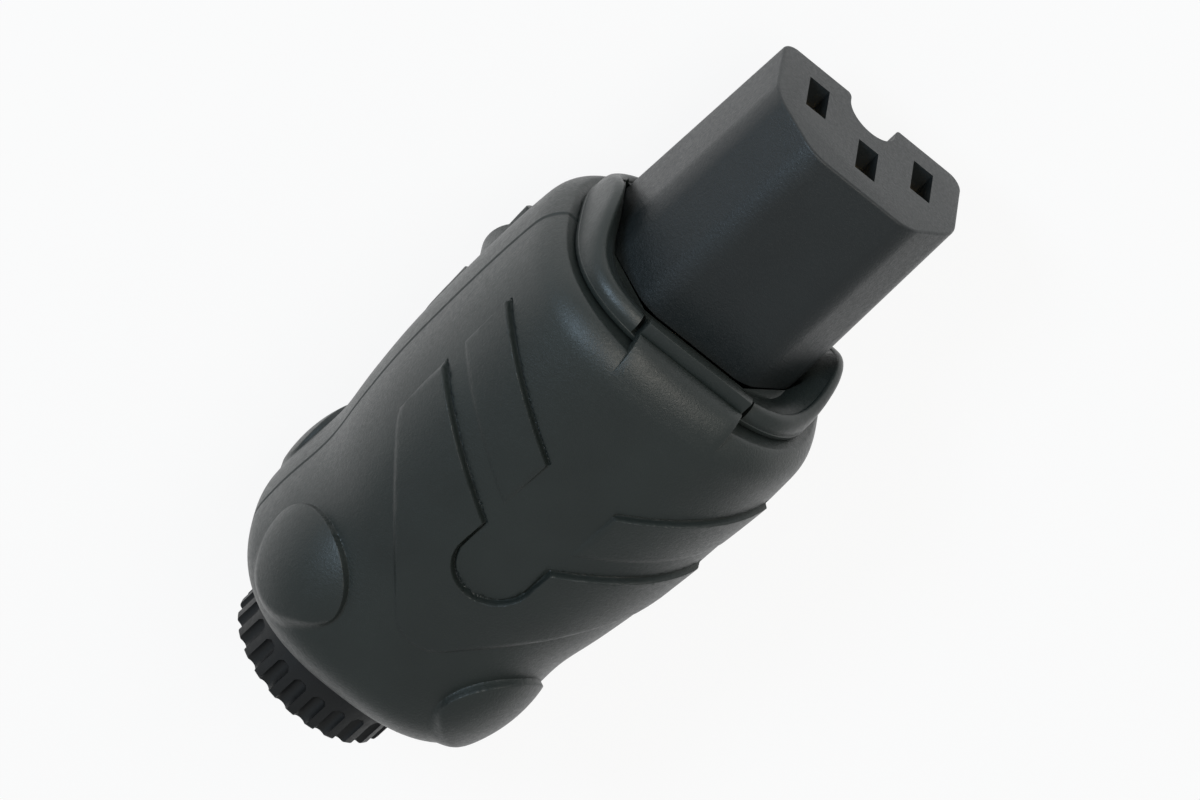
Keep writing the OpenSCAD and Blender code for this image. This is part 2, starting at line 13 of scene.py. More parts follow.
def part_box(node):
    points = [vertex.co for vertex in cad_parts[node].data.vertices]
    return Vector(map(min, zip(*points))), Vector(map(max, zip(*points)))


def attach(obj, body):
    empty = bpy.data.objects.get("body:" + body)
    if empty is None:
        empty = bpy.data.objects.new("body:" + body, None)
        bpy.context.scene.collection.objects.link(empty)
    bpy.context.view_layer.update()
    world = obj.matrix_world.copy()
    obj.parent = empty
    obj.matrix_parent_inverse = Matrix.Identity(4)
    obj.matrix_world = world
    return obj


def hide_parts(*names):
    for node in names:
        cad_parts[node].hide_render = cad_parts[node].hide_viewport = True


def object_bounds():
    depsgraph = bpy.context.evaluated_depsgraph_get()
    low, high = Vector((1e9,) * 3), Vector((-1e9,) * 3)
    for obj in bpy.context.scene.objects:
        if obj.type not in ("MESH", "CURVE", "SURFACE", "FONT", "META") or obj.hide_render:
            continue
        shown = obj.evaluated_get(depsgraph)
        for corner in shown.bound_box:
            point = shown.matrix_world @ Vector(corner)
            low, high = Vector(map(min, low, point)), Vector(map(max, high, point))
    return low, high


bl_info = {
    "name": "Rewireable Power Connector",
    "version": (1, 0, 0),
    "blender": (4, 5, 0),
    "location": "View3D > Sidebar > Connector",
    "description": "Builds the moulded pieces, finishes and studio of a power connector",
    "category": "Object",
}

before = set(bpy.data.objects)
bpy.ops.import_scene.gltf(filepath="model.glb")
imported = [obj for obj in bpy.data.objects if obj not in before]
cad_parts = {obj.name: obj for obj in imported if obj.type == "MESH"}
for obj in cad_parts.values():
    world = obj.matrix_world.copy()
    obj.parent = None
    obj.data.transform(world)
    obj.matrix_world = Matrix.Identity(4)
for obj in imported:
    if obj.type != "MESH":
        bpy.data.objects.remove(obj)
CAD_BOX = [list(corner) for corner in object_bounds()]
MM = 0.001

NOSE_LOW, NOSE_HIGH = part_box("nose_insert")
COLLAR_LOW, COLLAR_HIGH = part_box("front_collar")
SHELL_LOW, SHELL_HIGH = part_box("upper_shell")
NUT_LOW, NUT_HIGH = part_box("gland_nut")
SCREWS_LOW, SCREWS_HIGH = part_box("shell_screws")


# ======================= sizes and colours =======================


class ConnectorShape(bpy.types.PropertyGroup):
    """Sizes that shape the moulded pieces."""

    body_width: bpy.props.FloatProperty(
        name="Body width", description="Largest width of the body",
        default=37.7 * MM, min=0.03, max=0.045, unit="LENGTH", precision=4)
    body_thickness: bpy.props.FloatProperty(
        name="Body thickness", description="Largest thickness of the body without its panels",
        default=34.98 * MM, min=0.03, max=0.04, unit="LENGTH", precision=4)
    squareness: bpy.props.FloatProperty(
        name="Squareness", description="Squareness of the body's section, where 2 is an ellipse",
        default=2.5, min=2, max=4)
    panel_height: bpy.props.FloatProperty(
        name="Panel height", description="Height of a raised panel at its front edge",
        default=0.55 * MM, min=0, max=0.001, unit="LENGTH", precision=5)
    knuckle_height: bpy.props.FloatProperty(
        name="Knuckle height", description="Height of the rear knuckles above the body",
        default=1.25 * MM, min=0, max=0.003, unit="LENGTH", precision=5)
    wall: bpy.props.FloatProperty(
        name="Wall", description="Wall thickness of the shells",
        default=2.2 * MM, min=0.001, max=0.003, unit="LENGTH", precision=5)


class ConnectorFinish(bpy.types.PropertyGroup):
    """Colours and surface of the plastics and metals."""

    shell_colour: bpy.props.FloatVectorProperty(
        name="Shell colour", description="Colour of the shells and the collar",
        default=(0.019, 0.025, 0.023), size=3, min=0, max=1, subtype="COLOR")
    nose_colour: bpy.props.FloatVectorProperty(
        name="Nose colour", description="Colour of the nose",
        default=(0.013, 0.017, 0.018), size=3, min=0, max=1, subtype="COLOR")
    nut_colour: bpy.props.FloatVectorProperty(
        name="Nut colour", description="Colour of the gland nut",
        default=(0.0025, 0.0035, 0.004), size=3, min=0, max=1, subtype="COLOR")
    brass_colour: bpy.props.FloatVectorProperty(
        name="Brass colour", description="Colour of the contacts and terminals",
        default=(0.72, 0.50, 0.21), size=3, min=0, max=1, subtype="COLOR")
    steel_colour: bpy.props.FloatVectorProperty(
        name="Steel colour", description="Colour of the plated screws",
        default=(0.60, 0.61, 0.63), size=3, min=0, max=1, subtype="COLOR")
    grain: bpy.props.FloatProperty(
        name="Grain", description="Size of one grain of the moulded texture",
        default=0.3 * MM, min=0.00005, max=0.001, unit="LENGTH", precision=5)


class ConnectorStudio(bpy.types.PropertyGroup):
    """The camera, the lamps and the floor."""

    distance: bpy.props.FloatProperty(
        name="Camera distance", description="Distance of the camera from the mating face",
        default=0.801, min=0.3, max=3, unit="LENGTH")
    lens: bpy.props.FloatProperty(
        name="Lens", description="Focal length in millimetres",
        default=239.5, min=50, max=400)
    lamp_power: bpy.props.FloatProperty(
        name="Lamp power", description="Factor on the power of every lamp",
        default=1.0, min=0.1, max=5, subtype="FACTOR")


# ======================= modelling helpers =======================


def deselect_all():
    """Leaves edit mode and selects nothing."""
    if bpy.context.object and bpy.context.object.mode != "OBJECT":
        bpy.ops.object.mode_set(mode="OBJECT")
    bpy.ops.object.select_all(action="DESELECT")


def make_active(piece):
    """Selects one piece alone and makes it active."""
    deselect_all()
    piece.select_set(True)
    bpy.context.view_layer.objects.active = piece
    return piece


def named(piece, name):
    """Names a piece and its mesh alike."""
    piece.name = name
    piece.data.name = name
    return piece


def select_faces(piece, wanted):
    """In edit mode, selects the faces for which wanted(centre, normal) holds."""
    bpy.ops.mesh.select_all(action="DESELECT")
    bpy.ops.object.mode_set(mode="OBJECT")
    for polygon in piece.data.polygons:
        polygon.select = wanted(polygon.center, polygon.normal)
    bpy.ops.object.mode_set(mode="EDIT")


def apply_modifier(piece, kind, **settings):
    """Adds a modifier with these settings and applies it."""
    make_active(piece)
    modifier = piece.modifiers.new(kind.title(), kind)
    for key, value in settings.items():
        setattr(modifier, key, value)
    bpy.ops.object.modifier_apply(modifier=modifier.name)
    return piece


def combine(piece, tool, operation):
    """Cuts, keeps or adds a closed tool shape, and deletes the tool."""
    apply_modifier(piece, "BOOLEAN", object=tool, operation=operation, solver="MANIFOLD")
    bpy.data.objects.remove(tool, do_unlink=True)
    return piece


def flat_oval(name, x, half_width, half_thickness, power, segments):
    """A flat face across the axis at x: a square whose corners are rounded until they meet."""
    deselect_all()
    bpy.ops.mesh.primitive_plane_add(size=2, rotation=(0, math.pi / 2, 0))
    bpy.ops.object.transform_apply(location=False, rotation=True, scale=False)
    piece = named(bpy.context.object, name)
    bpy.ops.object.mode_set(mode="EDIT")
    bpy.ops.mesh.select_all(action="SELECT")
    bpy.ops.mesh.bevel(offset=1, affect="VERTICES", segments=segments, profile=2 ** (-2 / power))
    bpy.ops.mesh.remove_doubles(threshold=1e-5)
    bpy.ops.transform.resize(value=(1, half_width, half_thickness))
    bpy.ops.transform.translate(value=(x, 0, 0))
    return piece


def extrude_to(step, scale, x):
    """Extrudes the selected end face along the axis by step and scales it about the axis."""
    bpy.ops.mesh.extrude_region_move(TRANSFORM_OT_translate={"value": (step, 0, 0)})
    bpy.ops.transform.resize(value=(1, scale[0], scale[1]), center_override=(x, 0, 0))


def loft(name, rings, power, segments):
    """A closed form through rings of (x, half width, half thickness), from the front back."""
    piece = flat_oval(name, *rings[0], power, segments)
    for before, ring in zip(rings, rings[1:]):
        extrude_to(ring[0] - before[0], (ring[1] / before[1], ring[2] / before[2]), ring[0])
    bpy.ops.mesh.select_all(action="SELECT")
    bpy.ops.mesh.normals_make_consistent(inside=False)
    bpy.ops.object.mode_set(mode="OBJECT")
    return piece


def cylinder_x(name, x0, x1, radius, sides=96):
    """A round bar along the axis from x0 to x1."""
    deselect_all()
    bpy.ops.mesh.primitive_cylinder_add(
        vertices=sides, radius=radius, depth=abs(x1 - x0),
        location=((x0 + x1) / 2, 0, 0), rotation=(0, math.pi / 2, 0))
    bpy.ops.object.transform_apply(location=True, rotation=True, scale=True)
    return named(bpy.context.object, name)


def cylinder_z(name, place, z0, z1, radius, sides=48):
    """A round bar across the parting plane at place, from z0 to z1."""
    deselect_all()
    bpy.ops.mesh.primitive_cylinder_add(
        vertices=sides, radius=radius, depth=abs(z1 - z0),
        location=(place[0], place[1], (z0 + z1) / 2))
    bpy.ops.object.transform_apply(location=True, rotation=True, scale=True)
    return named(bpy.context.object, name)


def block(name, low, high):
    """A cutting block between two corners."""
    deselect_all()
    bpy.ops.mesh.primitive_cube_add(size=1, location=(Vector(low) + Vector(high)) / 2)
    bpy.ops.transform.resize(value=Vector(high) - Vector(low))
    bpy.ops.object.transform_apply(location=True, rotation=True, scale=True)
    return named(bpy.context.object, name)


def outline_prism(name, outline, start, sweep, steps=1):
    """A closed prism: a flat outline of 3D points, extruded by sweep from start in steps."""
    mesh = bpy.data.meshes.new(name)
    mesh.from_pydata([Vector(point) + Vector(start) for point in outline], [], [range(len(outline))])
    piece = bpy.data.objects.new(name, mesh)
    bpy.context.collection.objects.link(piece)
    make_active(piece)
    bpy.ops.object.mode_set(mode="EDIT")
    bpy.ops.mesh.select_all(action="SELECT")
    for _ in range(steps):
        bpy.ops.mesh.extrude_region_move(TRANSFORM_OT_translate={"value": Vector(sweep) / steps})
    bpy.ops.mesh.select_all(action="SELECT")
    bpy.ops.mesh.normals_make_consistent(inside=False)
    bpy.ops.object.mode_set(mode="OBJECT")
    return piece


def weigh(piece, group_name, weight):
    """Gives every vertex of a piece the weight of its place, in a named group."""
    group = piece.vertex_groups.new(name=group_name)
    for vertex in piece.data.vertices:
        share = weight(vertex.co)
        if share > 0:
            group.add([vertex.index], min(share, 1), "REPLACE")
    return group


def smooth(piece, angle=math.radians(35)):
    """Shades a piece smooth, with its sharp edges kept."""
    make_active(piece)
    bpy.ops.object.shade_smooth_by_angle(angle=angle)


def smoothstep(value):
    """A soft step from 0 to 1."""
    t = min(max(value, 0), 1)
    return t * t * (3 - 2 * t)


def finish_piece(piece, body, slot, material, *nodes):
    """Rides a piece on its body in place of its CAD nodes, with its finish."""
    piece.data.materials.clear()
    piece.data.materials.append(material)
    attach(piece, body)
    if nodes:
        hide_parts(*nodes)


# ======================= the body's form =======================

# Each station: its place on the axis in millimetres, then its half width and half
# thickness as shares of the largest ones
STATIONS = [
    (-24, 0.965, 0.98),
    (-34, 0.995, 1.0),
    (-44, 0.995, 0.985),
    (-52, 0.98, 0.96),
    (-59, 0.94, 0.94),
    (-65, 0.895, 0.915),
    (-73, 0.905, 0.925),
    (-82, 0.875, 0.89),
]
BODY_FRONT = -26.8 * MM
BODY_BACK = SHELL_LOW.x
SHOULDER_RADIUS = 4.5 * MM
SHOULDER_START = BODY_FRONT + 1.2 * MM
TAIL_RADIUS = 6 * MM
TAIL_END = BODY_BACK - 0.3 * MM
SEAM = 0.1 * MM


def slope(i, column):
    """Slope of a column of the stations at station i."""
    a = STATIONS[max(i - 1, 0)]
    b = STATIONS[min(i + 1, len(STATIONS) - 1)]
    return (b[column] - a[column]) / (b[0] - a[0])


def curve(x, column):
    """Value of a column at x, on a smooth curve through the stations."""
    x = x / MM
    i = 0
    while i < len(STATIONS) - 2 and x < STATIONS[i + 1][0]:
        i += 1
    p, q = STATIONS[i], STATIONS[i + 1]
    length = q[0] - p[0]
    t = min(max((x - p[0]) / length, 0), 1)
    return (
        (2 * t**3 - 3 * t**2 + 1) * p[column]
        + (t**3 - 2 * t**2 + t) * length * slope(i, column)
        + (3 * t**2 - 2 * t**3) * q[column]
        + (t**3 - t**2) * length * slope(i + 1, column)
    )


def rounding(distance, radius):
    """How far an edge of this radius has drawn in, at a distance from the end."""
    if distance >= radius:
        return 0
    return radius - math.sqrt(max(radius**2 - (radius - max(distance, 0)) ** 2, 0))


def body_ring(shape, x, grow=0):
    """One ring of the body at x: its place, half width and half thickness."""
    drawn = rounding(SHOULDER_START - x, SHOULDER_RADIUS) + rounding(x - TAIL_END, TAIL_RADIUS)
    return (
        x,
        curve(x, 1) * shape.body_width / 2 - drawn + grow,
        curve(x, 2) * shape.body_thickness / 2 - drawn + grow,
    )


def body_places(front, back, steps):
    """Places along the body that crowd towards both of its ends."""
    return [
        front + (back - front) * (0.55 * t + 0.45 * (1 - math.cos(math.pi * t)) / 2)
        for t in (i / steps for i in range(steps + 1))
    ]


# ======================= the raised panels and knuckles =======================

SWEEP = 0.59
TONGUE_HALF = 4.35 * MM
WING_TIP = -41.5 * MM
WING_LENGTH = 7.2 * MM
REAR_TIP = -51.6 * MM
REAR_END = -68.9 * MM
MEDAL_X = -55.1 * MM
PANEL_LOW = 8.8 * MM
SIDE_CIRCLE = Vector((-49.9 * MM, 12.3 * MM))
SIDE_RADIUS = 5 * MM
BACK_RADIUS = 4.5 * MM
# Width in plan of a panel's front wall, and of its gentle outer edges
WALL_WIDTH = 0.2 * MM
SOFT_WIDTH = 0.5 * MM
GROOVE_HALF = 0.19 * MM
GROOVE_DEPTH = 0.45 * MM
# How near to a moulded edge the skin is made finer, and the rounding at the joint line
FINE_BAND = 0.32 * MM
SEAM_ROUND = 0.3 * MM

KNUCKLE_FOOT_X = -72.7 * MM
KNUCKLE_DOME_X = -71.6 * MM
KNUCKLE_FOOT = 6.6 * MM
KNUCKLE_DOME = 9.5 * MM
KNUCKLE_STRETCH = 1.4
KNUCKLE_TURN = math.radians(48)
KNUCKLE_FADE = 2 * MM


def behind_sweep(tip, x, y):
    """How far a place lies behind the swept line that starts at a tip on the tongue's side."""
    line = tip + SWEEP * (y - TONGUE_HALF)
    return (line - x) / math.hypot(1, SWEEP)


def within_back(x, y):
    """How far a place lies inside the rear panel's rounded back."""
    centre = Vector((REAR_END + BACK_RADIUS, 0))
    place = Vector((x, y))
    along = centre - SIDE_CIRCLE
    t = (place - SIDE_CIRCLE).dot(along) / along.length_squared
    if t > 1:
        return BACK_RADIUS - (place - centre).length
    if t < 0:
        if x > SIDE_CIRCLE.x:
            return SIDE_CIRCLE.y + SIDE_RADIUS - y
        return SIDE_RADIUS - (place - SIDE_CIRCLE).length
    outward = Vector((along.y, -along.x)).normalized()
    radius = SIDE_RADIUS + t * (BACK_RADIUS - SIDE_RADIUS)
    return radius - (place - SIDE_CIRCLE).dot(outward)


def wing_depths(point):
    """How far a place lies behind a front panel's front wall, and inside its other edges."""
    x, y = point.x, abs(point.y)
    front = behind_sweep(WING_TIP, x, y)
    return front, min(
        -behind_sweep(WING_TIP - WING_LENGTH, x, y),
        (y - TONGUE_HALF) * 1.6,
        (abs(point.z) - PANEL_LOW) * 1.4,
    )


def rear_depths(point):
    """How far a place lies behind the rear panel's front walls, and inside its back."""
    x, y = point.x, abs(point.y)
    if x > MEDAL_X:
        off_medal = y - TONGUE_HALF
    else:
        off_medal = math.hypot(x - MEDAL_X, y) - TONGUE_HALF
    front = min(behind_sweep(REAR_TIP, x, y), off_medal)
    return front, min(within_back(x, y), (abs(point.z) - PANEL_LOW) * 1.4)


def panel_weight(point):
    """Share of the panel height at a place on the body."""
    best = 0
    for (front, other), run, far in (
        (wing_depths(point), 7 * MM, 0.12),
        (rear_depths(point), 12 * MM, 0.22),
    ):
        edge = smoothstep(front / WALL_WIDTH) * smoothstep(other / SOFT_WIDTH)
        best = max(best, edge * (1 - (1 - far) * min(max(front, 0) / run, 1)))
    return best


def groove_weight(point):
    """Share of the fine shadow line's depth, along the foot of the panels' front walls."""
    best = 0
    for front, other in (wing_depths(point), rear_depths(point)):
        if other > 0:
            best = max(best, 1 - abs(front + 0.6 * GROOVE_HALF) / GROOVE_HALF)
    return best


def knuckle_foot(point):
    """How far a place lies inside the outline of the nearest knuckle."""
    side = abs(point.y) * math.cos(KNUCKLE_TURN) - abs(point.z) * math.sin(KNUCKLE_TURN)
    return KNUCKLE_FOOT - math.hypot(point.x - KNUCKLE_FOOT_X, side)


def knuckle_rise(shape, point):
    """How far the nearest knuckle's dome stands over a place on the body."""
    foot = knuckle_foot(point)
    if foot < -0.1 * MM:
        return 0
    out = Vector((0, math.sin(KNUCKLE_TURN), math.cos(KNUCKLE_TURN)))
    place = Vector((point.x - KNUCKLE_DOME_X, abs(point.y), abs(point.z)))
    side = place.y * out.z - place.z * out.y
    ring = body_ring(shape, KNUCKLE_FOOT_X)
    power = shape.squareness
    corner = ((out.y / ring[1]) ** power + (out.z / ring[2]) ** power) ** (-1 / power)
    inner = KNUCKLE_DOME**2 - side**2 - (place.x / KNUCKLE_STRETCH) ** 2
    dome = corner + shape.knuckle_height - KNUCKLE_DOME + math.sqrt(max(inner, 0))
    behind = smoothstep((KNUCKLE_FOOT_X + 1 * MM - point.x) / (5 * MM))
    soft = WALL_WIDTH + (KNUCKLE_FADE - WALL_WIDTH) * behind
    return max(dome - place.dot(out), 0) * smoothstep(foot / soft + 0.2 * (1 - behind))


def near_edge(point):
    """Whether a place lies near a moulded edge, where the skin has to be fine."""
    front, other = wing_depths(point)
    if min(front, other) > -FINE_BAND and min(abs(front), abs(other)) < FINE_BAND:
        return True
    front, other = rear_depths(point)
    if min(front, other) > -FINE_BAND and min(abs(front), abs(other)) < FINE_BAND:
        return True
    if point.x > KNUCKLE_FOOT_X - 2 * MM and abs(knuckle_foot(point)) < FINE_BAND:
        return True
    return abs(point.z) < SEAM + SEAM_ROUND


# ======================= materials =======================


def new_material(name):
    """A material with its Principled shader, its node tree and its object coordinates."""
    material = bpy.data.materials.new(name)
    material.use_nodes = True
    tree = material.node_tree
    shader = tree.nodes["Principled BSDF"]
    coordinates = tree.nodes.new("ShaderNodeTexCoord")
    return material, tree, shader, coordinates.outputs["Object"]


def noise(tree, vector, size, detail=3.0, roughness=0.6):
    """A noise texture whose features are about size across."""
    node = tree.nodes.new("ShaderNodeTexNoise")
    node.inputs["Scale"].default_value = 1 / size
    node.inputs["Detail"].default_value = detail
    node.inputs["Roughness"].default_value = roughness
    tree.links.new(vector, node.inputs["Vector"])
    return node.outputs["Fac"]


def ramp(tree, factor, low, high):
    """Spreads a factor between two values."""
    node = tree.nodes.new("ShaderNodeMapRange")
    node.inputs["From Min"].default_value = 0.3
    node.inputs["From Max"].default_value = 0.7
    node.inputs["To Min"].default_value = low
    node.inputs["To Max"].default_value = high
    tree.links.new(factor, node.inputs["Value"])
    return node.outputs["Result"]


def shade_between(tree, factor, dark, pale):
    """A colour that varies between two by a factor."""
    node = tree.nodes.new("ShaderNodeMix")
    node.data_type = "RGBA"
    node.inputs["A"].default_value = (*dark, 1)
    node.inputs["B"].default_value = (*pale, 1)
    tree.links.new(factor, node.inputs["Factor"])
    return node.outputs["Result"]


def bump(tree, height, depth, strength, before=None):
    """A bump of this depth, laid over another one if there is one."""
    node = tree.nodes.new("ShaderNodeBump")
    node.inputs["Distance"].default_value = depth
    node.inputs["Strength"].default_value = strength
    tree.links.new(height, node.inputs["Height"])
    if before:
        tree.links.new(before, node.inputs["Normal"])
    return node.outputs["Normal"]


def tint(colour, factor):
    """A colour made lighter or darker."""
    return tuple(min(channel * factor, 1) for channel in colour)


def moulded_plastic(name, colour, roughness, grain, grain_depth):
    """Moulded plastic: spark-eroded grain, faint flow marks and uneven gloss."""
    material, tree, shader, place = new_material(name)
    cloud = noise(tree, place, 9 * MM, detail=2)
    fleck = noise(tree, place, grain * 1.5, detail=2)
    base = shade_between(tree, ramp(tree, cloud, 0, 1), tint(colour, 0.9), tint(colour, 1.12))
    tree.links.new(base, shader.inputs["Base Color"])
    tree.links.new(ramp(tree, fleck, roughness - 0.05, roughness + 0.07), shader.inputs["Roughness"])
    pits = bump(tree, noise(tree, place, grain, detail=4, roughness=0.7), grain_depth, 1.0)
    tree.links.new(bump(tree, noise(tree, place, 4 * MM), 0.02 * MM, 0.35, pits), shader.inputs["Normal"])
    shader.inputs["Specular IOR Level"].default_value = 0.65
    return material


def stamped_metal(name, colour, roughness):
    """Bright metal with fine drawing lines and a little tarnish."""
    material, tree, shader, place = new_material(name)
    lines = tree.nodes.new("ShaderNodeMapping")
    lines.inputs["Scale"].default_value = (0.1, 1, 1)
    tree.links.new(place, lines.inputs["Vector"])
    stroke = noise(tree, lines.outputs["Vector"], 0.12 * MM, detail=2)
    tarnish = noise(tree, place, 3 * MM)
    base = shade_between(tree, ramp(tree, tarnish, 0, 1), tint(colour, 0.82), colour)
    tree.links.new(base, shader.inputs["Base Color"])
    tree.links.new(ramp(tree, stroke, roughness - 0.08, roughness + 0.1), shader.inputs["Roughness"])
    tree.links.new(bump(tree, stroke, 0.01 * MM, 0.6), shader.inputs["Normal"])
    shader.inputs["Metallic"].default_value = 1
    return material


def soft_rubber(name, colour):
    """Dull rubber with a faint bloom."""
    material, tree, shader, place = new_material(name)
    base = shade_between(tree, ramp(tree, noise(tree, place, 2 * MM), 0, 1), colour, tint(colour, 1.5))
    tree.links.new(base, shader.inputs["Base Color"])
    tree.links.new(ramp(tree, noise(tree, place, 0.5 * MM), 0.7, 0.85), shader.inputs["Roughness"])
    tree.links.new(bump(tree, noise(tree, place, 0.15 * MM), 0.02 * MM, 0.8), shader.inputs["Normal"])
    return material


# ======================= operators =======================


class CONNECTOR_OT_nose(bpy.types.Operator):
    """Build the chamfered nose with its pin slots and keyway"""

    bl_idname = "connector.nose"
    bl_label = "Nose"

    def execute(self, context):
        finish = context.scene.connector_finish
        depth = 25.2 * MM
        draft = 0.018 * depth
        half_width, half_height = 12 * MM, 8 * MM
        chamfer, corner = 5.6 * MM, 1.8 * MM
        deselect_all()
        bpy.ops.mesh.primitive_plane_add(size=2, rotation=(0, math.pi / 2, 0))
        bpy.ops.object.transform_apply(location=False, rotation=True, scale=False)
        piece = named(context.object, "nose")
        bpy.ops.object.mode_set(mode="EDIT")
        bpy.ops.mesh.select_all(action="SELECT")
        bpy.ops.transform.resize(value=(1, half_width, half_height))
        self.round_corners(piece, chamfer, 1, lambda place: place.z > half_height - 1e-6)
        self.round_corners(piece, 1.7 * MM, 8, lambda place: place.z > 0)
        self.round_corners(piece, corner, 8, lambda place: place.z < 0)
        bpy.ops.mesh.remove_doubles(threshold=1e-6)
        scale = (1 + draft / half_width, 1 + draft / half_height)
        bpy.ops.mesh.select_all(action="SELECT")
        extrude_to(-depth, scale, -depth)
        bpy.ops.mesh.select_all(action="SELECT")
        bpy.ops.mesh.normals_make_consistent(inside=False)
        select_faces(piece, lambda centre, normal: normal.x > 0.9)
        bpy.ops.mesh.region_to_loop()
        bpy.ops.mesh.bevel(offset=0.3 * MM, affect="EDGES", segments=4)
        bpy.ops.object.mode_set(mode="OBJECT")
        self.cut_slots(piece)
        self.cut_keyway(piece)
        smooth(piece)
        plastic = moulded_plastic("nose plastic", finish.nose_colour, 0.42, finish.grain, 0.05 * MM)
        finish_piece(piece, "connector_body", "nose_plastic", plastic, "nose_insert")
        return {"FINISHED"}

    def round_corners(self, piece, size, segments, wanted):
        """Bevels the outline's wanted corners."""
        bpy.ops.mesh.select_mode(type="VERT")
        bpy.ops.mesh.select_all(action="DESELECT")
        bpy.ops.object.mode_set(mode="OBJECT")
        for vertex in piece.data.vertices:
            vertex.select = wanted(vertex.co)
        bpy.ops.object.mode_set(mode="EDIT")
        bpy.ops.mesh.bevel(offset=size, affect="VERTICES", segments=segments)

    def cut_slots(self, piece):
        """Opens the three pin slots."""
        half_width, low, high = 1.3 * MM, 2.9 * MM, 2.5 * MM
        for y, z in ((7 * MM, -2 * MM), (-7 * MM, -2 * MM), (0, 2 * MM)):
            slot = block("slot", (-22 * MM, y - half_width, z - low), (1 * MM, y + half_width, z + high))
            combine(piece, slot, "DIFFERENCE")

    def cut_keyway(self, piece):
        """Cuts the round-bottomed keyway along the nose's lower side."""
        radius, centre, mouth, fillet = 3 * MM, -6.6 * MM, -8 * MM, 1 * MM
        steps = 24
        bottom = [
            (0, -radius * math.cos(math.pi * i / steps), centre + radius * math.sin(math.pi * i / steps))
            for i in range(steps + 1)
        ]
        flare = [
            (fillet * (1 - math.cos(math.pi / 2 * i / 6)), fillet * (1 - math.sin(math.pi / 2 * i / 6)))
            for i in range(7)
        ]
        right = [(0, radius + out, mouth + down) for out, down in flare]
        left = [(0, -radius - out, mouth + down) for out, down in reversed(flare)]
        outline = [(0, -radius - fillet, -12 * MM), *left, *bottom, *right, (0, radius + fillet, -12 * MM)]
        combine(piece, outline_prism("keyway", outline, (1 * MM, 0, 0), (-24 * MM, 0, 0)), "DIFFERENCE")


